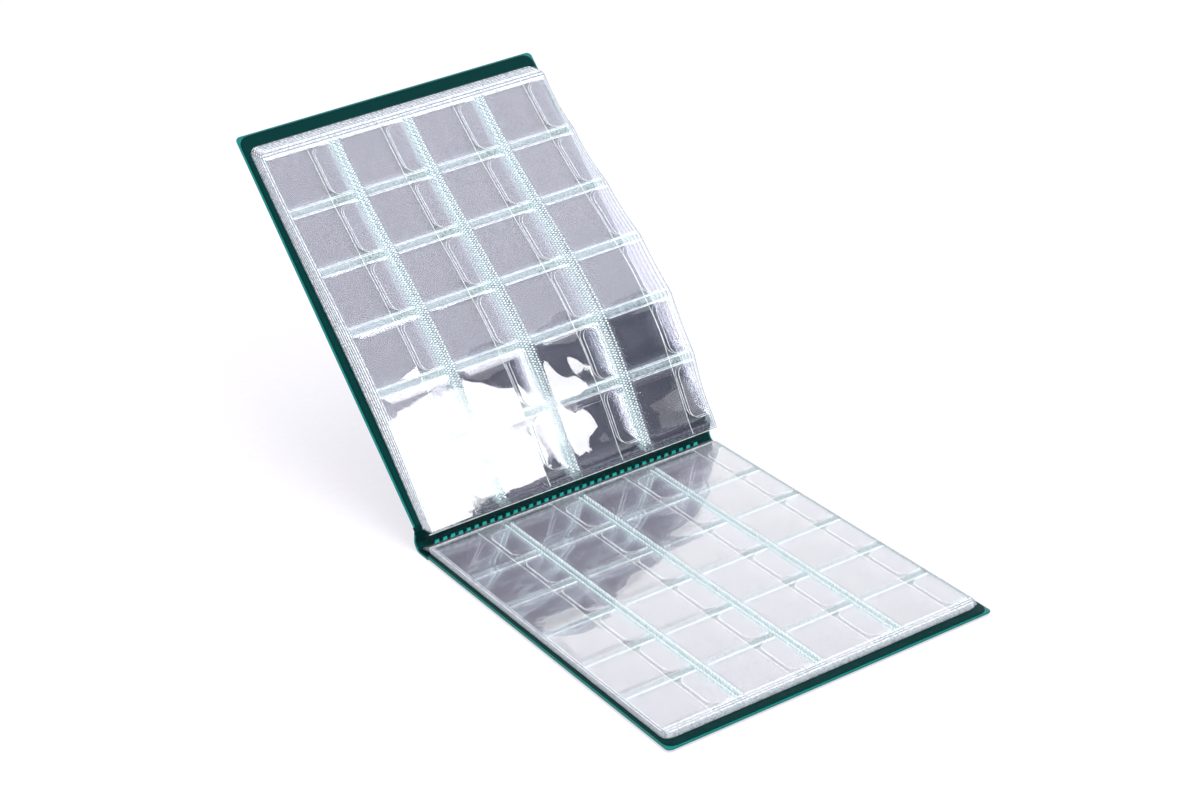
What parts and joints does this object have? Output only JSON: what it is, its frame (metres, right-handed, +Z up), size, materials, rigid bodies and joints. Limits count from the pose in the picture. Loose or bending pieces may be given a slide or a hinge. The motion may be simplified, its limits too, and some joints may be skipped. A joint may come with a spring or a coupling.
{
  "type": "coin album",
  "caption": "Open pocket album for coins: two soft-wrapped board covers on a folding film spine, with turning pages of clear pockets with tuck flaps.",
  "frame": {"origin": "centre of the back cover's outer face, which lies on the table", "axes": "+X along the spine, +Y from the back cover towards the spine, +Z up from the table"},
  "size_m": [0.1551, 0.3416, 0.1603],
  "materials": {
    "cover_film": "dark green grained film with a welded edge",
    "lining_film": "dark green smooth film",
    "seam_film": "pressed weld, glossy",
    "board": "grey board",
    "page_film": "clear film",
    "pocket_film": "clear film, slightly wavy",
    "flap_film": "clear film with frosted cut edges"
  },
  "bodies": {
    "back_cover": {"back_cover_skin": "cover_film", "back_cover_board": "board", "back_cover_lining": "lining_film"},
    "spine": {"spine_skin": "cover_film", "spine_lining": "lining_film", "spine_seam": "seam_film"},
    "front_cover": {"front_cover_skin": "cover_film", "front_cover_board": "board", "front_cover_lining": "lining_film"},
    "page_1": {"page_1_sheet": "page_film", "page_1_pockets": "pocket_film", "page_1_flaps": "flap_film"},
    "page_2": {"page_2_sheet": "page_film", "page_2_pockets": "pocket_film", "page_2_flaps": "flap_film"},
    "page_3": {"page_3_sheet": "page_film", "page_3_pockets": "pocket_film", "page_3_flaps": "flap_film"},
    "page_4": {"page_4_sheet": "page_film", "page_4_pockets": "pocket_film", "page_4_flaps": "flap_film"},
    "page_5": {"page_5_sheet": "page_film", "page_5_pockets": "pocket_film", "page_5_flaps": "flap_film"},
    "page_6": {"page_6_sheet": "page_film", "page_6_pockets": "pocket_film", "page_6_flaps": "flap_film"},
    "page_7": {"page_7_sheet": "page_film", "page_7_pockets": "pocket_film", "page_7_flaps": "flap_film"},
    "page_8": {"page_8_sheet": "page_film", "page_8_pockets": "pocket_film", "page_8_flaps": "flap_film"},
    "page_9": {"page_9_sheet": "page_film", "page_9_pockets": "pocket_film", "page_9_flaps": "flap_film"},
    "page_10": {"page_10_sheet": "page_film", "page_10_pockets": "pocket_film", "page_10_flaps": "flap_film"}
  },
  "joints": [
    {"name": "back_hinge", "type": "hinge", "parent": "back_cover", "child": "spine", "pos_m": [0, 0.1, 0.00015], "axis": [-1, 0, 0], "range_deg": [-37, 48]},
    {"name": "front_hinge", "type": "hinge", "parent": "spine", "child": "front_cover", "pos_m": [0, 0.10764, 0.01029], "axis": [-1, 0, 0], "range_deg": [-95, 0]},
    {"name": "page_1_turn", "type": "hinge", "parent": "front_cover", "child": "page_1", "pos_m": [0, 0.10531, 0.01105], "axis": [1, 0, 0], "range_deg": [0, 35]},
    {"name": "page_2_turn", "type": "hinge", "parent": "page_1", "child": "page_2", "pos_m": [0, 0.10434, 0.01071], "axis": [1, 0, 0], "range_deg": [0, 12]},
    {"name": "page_3_turn", "type": "hinge", "parent": "page_2", "child": "page_3", "pos_m": [0, 0.10336, 0.01038], "axis": [1, 0, 0], "range_deg": [0, 10]},
    {"name": "page_4_turn", "type": "hinge", "parent": "page_3", "child": "page_4", "pos_m": [0, 0.10239, 0.01005], "axis": [1, 0, 0], "range_deg": [0, 8]},
    {"name": "page_5_turn", "type": "hinge", "parent": "page_4", "child": "page_5", "pos_m": [0, 0.10141, 0.00971], "axis": [1, 0, 0], "range_deg": [0, 8]},
    {"name": "page_6_turn", "type": "hinge", "parent": "back_cover", "child": "page_6", "pos_m": [0, 0.0989, 0.00239], "axis": [-1, 0, 0], "range_deg": [0, 60]},
    {"name": "page_7_turn", "type": "hinge", "parent": "page_6", "child": "page_7", "pos_m": [0, 0.0989, 0.00289], "axis": [-1, 0, 0], "range_deg": [0, 12]},
    {"name": "page_8_turn", "type": "hinge", "parent": "page_7", "child": "page_8", "pos_m": [0, 0.0989, 0.00339], "axis": [-1, 0, 0], "range_deg": [0, 10]},
    {"name": "page_9_turn", "type": "hinge", "parent": "page_8", "child": "page_9", "pos_m": [0, 0.0989, 0.00389], "axis": [-1, 0, 0], "range_deg": [0, 8]},
    {"name": "page_10_turn", "type": "hinge", "parent": "page_9", "child": "page_10", "pos_m": [0, 0.0989, 0.00439], "axis": [-1, 0, 0], "range_deg": [0, 8]}
  ]
}
